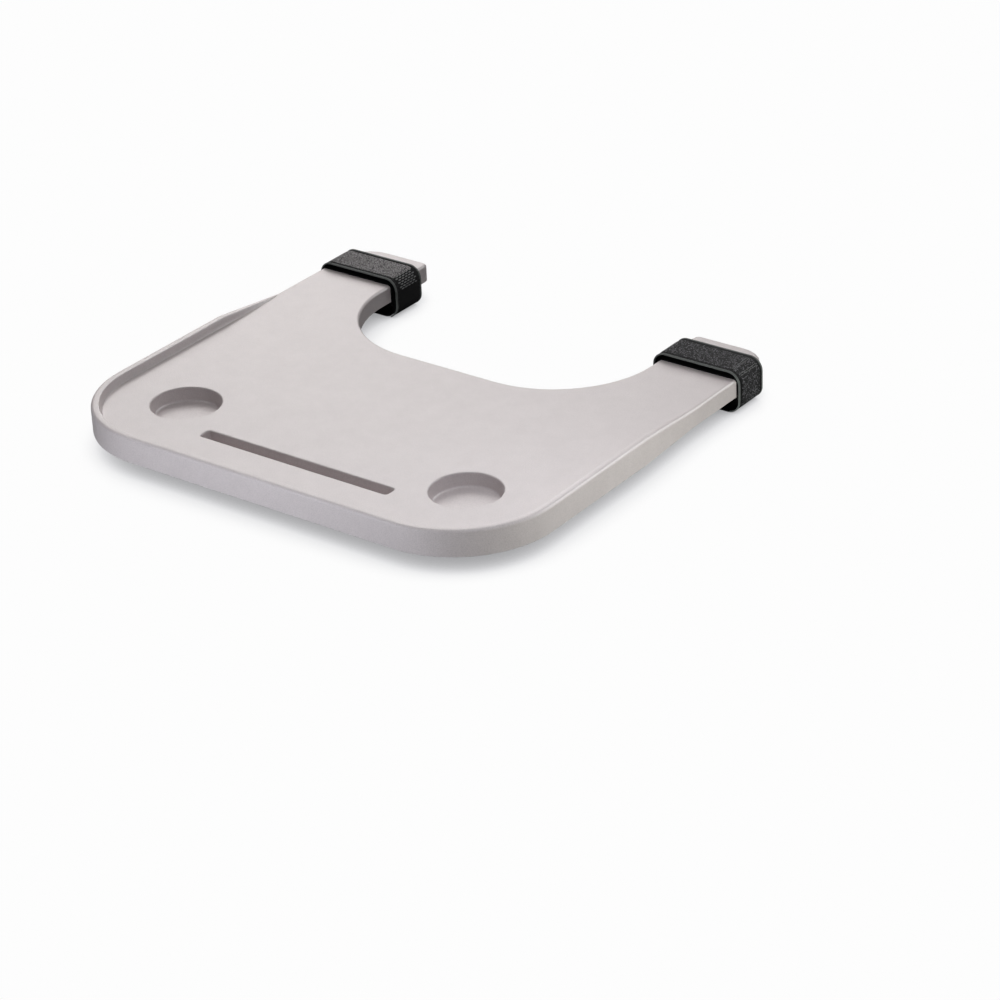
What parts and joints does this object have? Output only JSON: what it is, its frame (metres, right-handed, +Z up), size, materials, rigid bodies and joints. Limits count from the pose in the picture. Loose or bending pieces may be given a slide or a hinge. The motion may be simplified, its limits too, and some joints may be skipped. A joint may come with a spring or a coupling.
{
  "type": "wheelchair lap tray",
  "caption": "Moulded lap tray with a raised rim, cup wells and a pen slot, a cut-out for the body, and a hook-and-loop strap round each arm.",
  "frame": {"origin": "on the floor under the middle of the tray, level with the lowest run of the straps", "axes": "+Z up, +Y towards the user, along the arms, -Y the far edge with the cup wells, +X to the user's left seen from the chair, so the nodes named left lie at -X"},
  "size_m": [0.61, 0.5636, 0.0525],
  "materials": {
    "tray_top": "satin moulded ABS",
    "base_panel": "fine grained moulded ABS",
    "screws": "zinc plated",
    "grip_pads": "fine ribbed",
    "strap_web": "brushed pile over woven web",
    "loop_tape": "loop pile",
    "hook_tape": "moulded hooks on woven tape"
  },
  "bodies": {
    "tray_body": {"top_shell": "tray_top", "bottom_cover": "base_panel", "left_grip_pad": "grip_pads", "right_grip_pad": "grip_pads", "screw_01": "screws", "screw_02": "screws", "screw_03": "screws", "screw_04": "screws", "screw_05": "screws", "screw_06": "screws", "screw_07": "screws", "screw_08": "screws", "screw_09": "screws", "screw_10": "screws", "screw_11": "screws", "screw_12": "screws"},
    "left_strap_body": {"left_inner_band": "strap_web", "left_outer_band": "strap_web", "left_loop_tape": "loop_tape"},
    "left_flap_body": {"left_flap": "strap_web", "left_hook_tape": "hook_tape"},
    "right_strap_body": {"right_inner_band": "strap_web", "right_outer_band": "strap_web", "right_loop_tape": "loop_tape"},
    "right_flap_body": {"right_flap": "strap_web", "right_hook_tape": "hook_tape"}
  },
  "joints": [
    {"name": "left_strap_slide", "type": "slide", "parent": "tray_body", "child": "left_strap_body", "axis": [0, 1, 0], "range_m": [-0.018, 0.026]},
    {"name": "left_flap_peel", "type": "hinge", "parent": "left_strap_body", "child": "left_flap_body", "pos_m": [-0.3033, 0.2294, 0.0336], "axis": [0, -1, 0], "range_deg": [0, 130]},
    {"name": "right_strap_slide", "type": "slide", "parent": "tray_body", "child": "right_strap_body", "axis": [0, 1, 0], "range_m": [-0.018, 0.026]},
    {"name": "right_flap_peel", "type": "hinge", "parent": "right_strap_body", "child": "right_flap_body", "pos_m": [0.3033, 0.2294, 0.0336], "axis": [0, 1, 0], "range_deg": [0, 130]}
  ]
}
